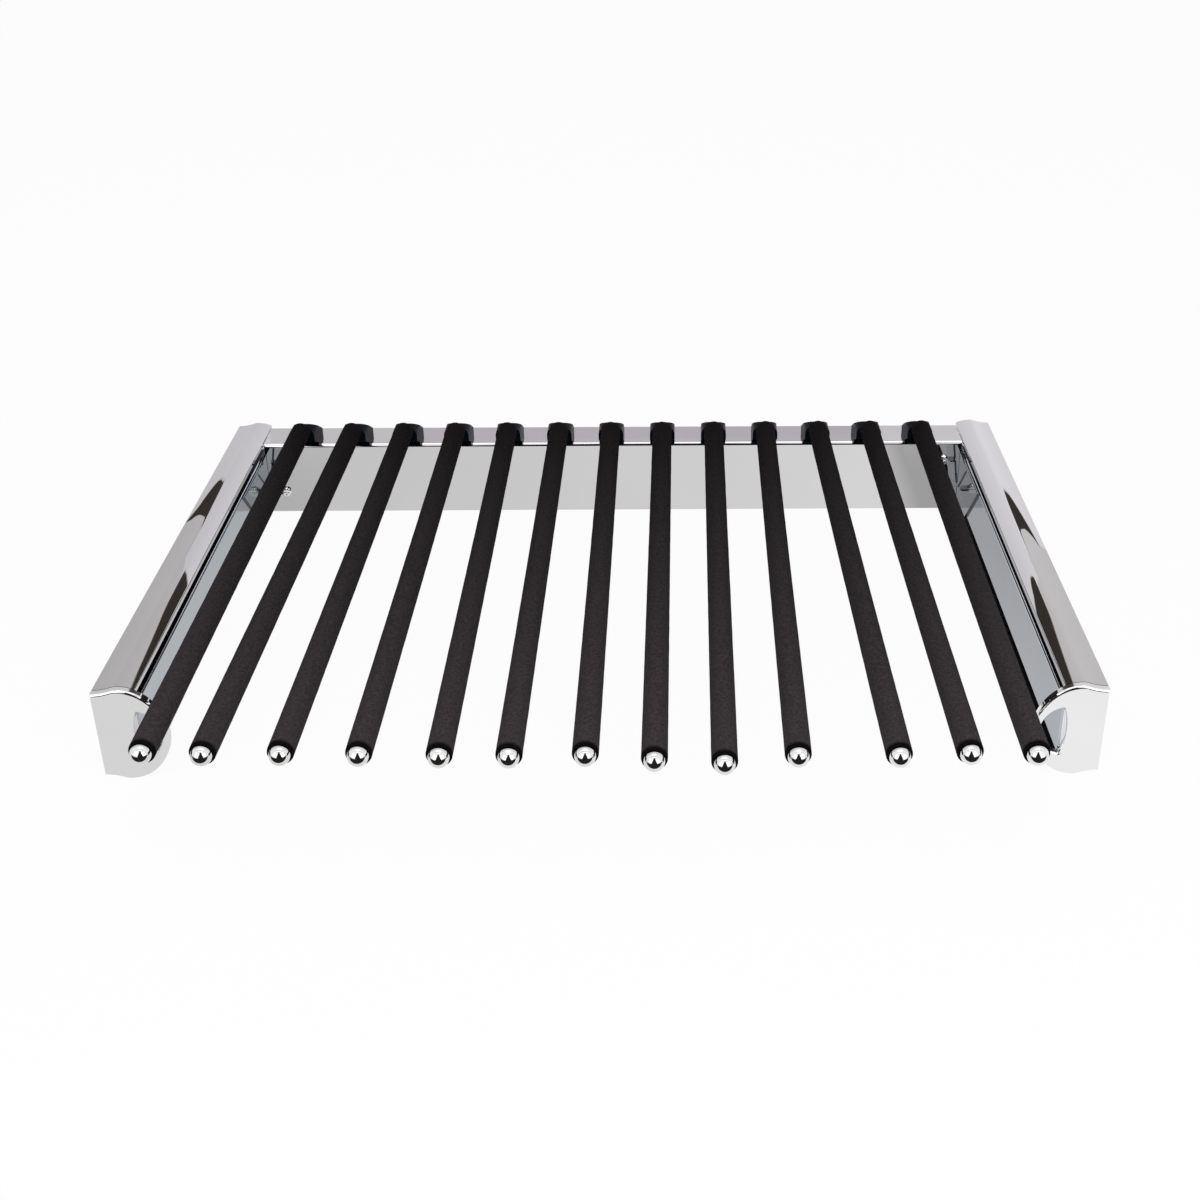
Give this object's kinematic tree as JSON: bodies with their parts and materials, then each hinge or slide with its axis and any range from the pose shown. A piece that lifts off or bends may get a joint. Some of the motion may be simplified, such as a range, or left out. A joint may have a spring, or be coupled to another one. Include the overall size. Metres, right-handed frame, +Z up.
{
  "type": "pull-out trouser rack",
  "caption": "Pull-out trouser rack: chrome side covers with ball slides, a sliding frame with finger-window end caps, and a row of foam-padded arms with chrome ball ends.",
  "frame": {"origin": "under the middle of the whole rack, at the height of the lowest crest of the side covers, with the rack pushed in", "axes": "+Z up; -Y to the front, the way the arms point and the rack pulls out; +X to the right as seen from the front"},
  "size_m": [0.607, 0.4984, 0.0856],
  "materials": {
    "cover_chrome": "bright chrome plate on bent sheet steel",
    "cap_chrome": "satin-bright chrome plate on a zinc casting",
    "rail_chrome": "bright plate on folded sheet steel",
    "ball_chrome": "mirror chrome",
    "slide_steel": "zinc-plated rolled steel",
    "bearing_steel": "polished bearing steel",
    "cage_plastic": "moulded, satin",
    "buffer_rubber": "matte",
    "bar_steel": "bluish zinc plate, satin",
    "screw_steel": "bright zinc plate",
    "tube_steel": "plain drawn tube",
    "sleeve_foam": "matte closed-cell foam",
    "socket_plastic": "glossy moulded plastic"
  },
  "bodies": {
    "fixed_sides": {"left_cover": "cover_chrome", "right_cover": "cover_chrome", "left_outer_member": "slide_steel", "right_outer_member": "slide_steel", "left_rear_buffer": "buffer_rubber", "right_rear_buffer": "buffer_rubber", "slide_rivets": "slide_steel"},
    "middle_members": {"left_middle_member": "slide_steel", "right_middle_member": "slide_steel"},
    "outer_cages": {"left_outer_cage": "cage_plastic", "right_outer_cage": "cage_plastic", "outer_balls": "bearing_steel"},
    "inner_cages": {"left_inner_cage": "cage_plastic", "right_inner_cage": "cage_plastic", "inner_balls": "bearing_steel"},
    "rack": {"left_end_cap": "cap_chrome", "right_end_cap": "cap_chrome", "rear_rail": "rail_chrome", "arm_ball_ends": "ball_chrome", "left_inner_member": "slide_steel", "right_inner_member": "slide_steel", "left_side_bar": "bar_steel", "right_side_bar": "bar_steel", "left_bracket": "bar_steel", "right_bracket": "bar_steel", "bracket_rivets": "bar_steel", "slide_screws": "screw_steel", "cap_screws": "screw_steel", "rail_screws": "screw_steel", "rail_nuts": "screw_steel", "socket_screws": "screw_steel", "arm_tubes": "tube_steel", "arm_sleeve_01": "sleeve_foam", "arm_sleeve_02": "sleeve_foam", "arm_sleeve_03": "sleeve_foam", "arm_sleeve_04": "sleeve_foam", "arm_sleeve_05": "sleeve_foam", "arm_sleeve_06": "sleeve_foam", "arm_sleeve_07": "sleeve_foam", "arm_sleeve_08": "sleeve_foam", "arm_sleeve_09": "sleeve_foam", "arm_sleeve_10": "sleeve_foam", "arm_sleeve_11": "sleeve_foam", "arm_sleeve_12": "sleeve_foam", "arm_sleeve_13": "sleeve_foam", "arm_socket_01": "socket_plastic", "arm_socket_02": "socket_plastic", "arm_socket_03": "socket_plastic", "arm_socket_04": "socket_plastic", "arm_socket_05": "socket_plastic", "arm_socket_06": "socket_plastic", "arm_socket_07": "socket_plastic", "arm_socket_08": "socket_plastic", "arm_socket_09": "socket_plastic", "arm_socket_10": "socket_plastic", "arm_socket_11": "socket_plastic", "arm_socket_12": "socket_plastic", "arm_socket_13": "socket_plastic"}
  },
  "joints": [
    {"name": "rack_slide", "type": "slide", "parent": "fixed_sides", "child": "rack", "axis": [0, -1, 0], "range_m": [0, 0.33]},
    {"name": "middle_slide", "type": "slide", "parent": "fixed_sides", "child": "middle_members", "axis": [0, -1, 0], "range_m": [0, 0.165]},
    {"name": "outer_cage_slide", "type": "slide", "parent": "fixed_sides", "child": "outer_cages", "axis": [0, -1, 0], "range_m": [0, 0.0825]},
    {"name": "inner_cage_slide", "type": "slide", "parent": "fixed_sides", "child": "inner_cages", "axis": [0, -1, 0], "range_m": [0, 0.2475]}
  ],
  "couplings": [
    {"joint": "middle_slide", "follows": "rack_slide", "ratio": 0.5},
    {"joint": "outer_cage_slide", "follows": "rack_slide", "ratio": 0.25},
    {"joint": "inner_cage_slide", "follows": "rack_slide", "ratio": 0.75}
  ]
}
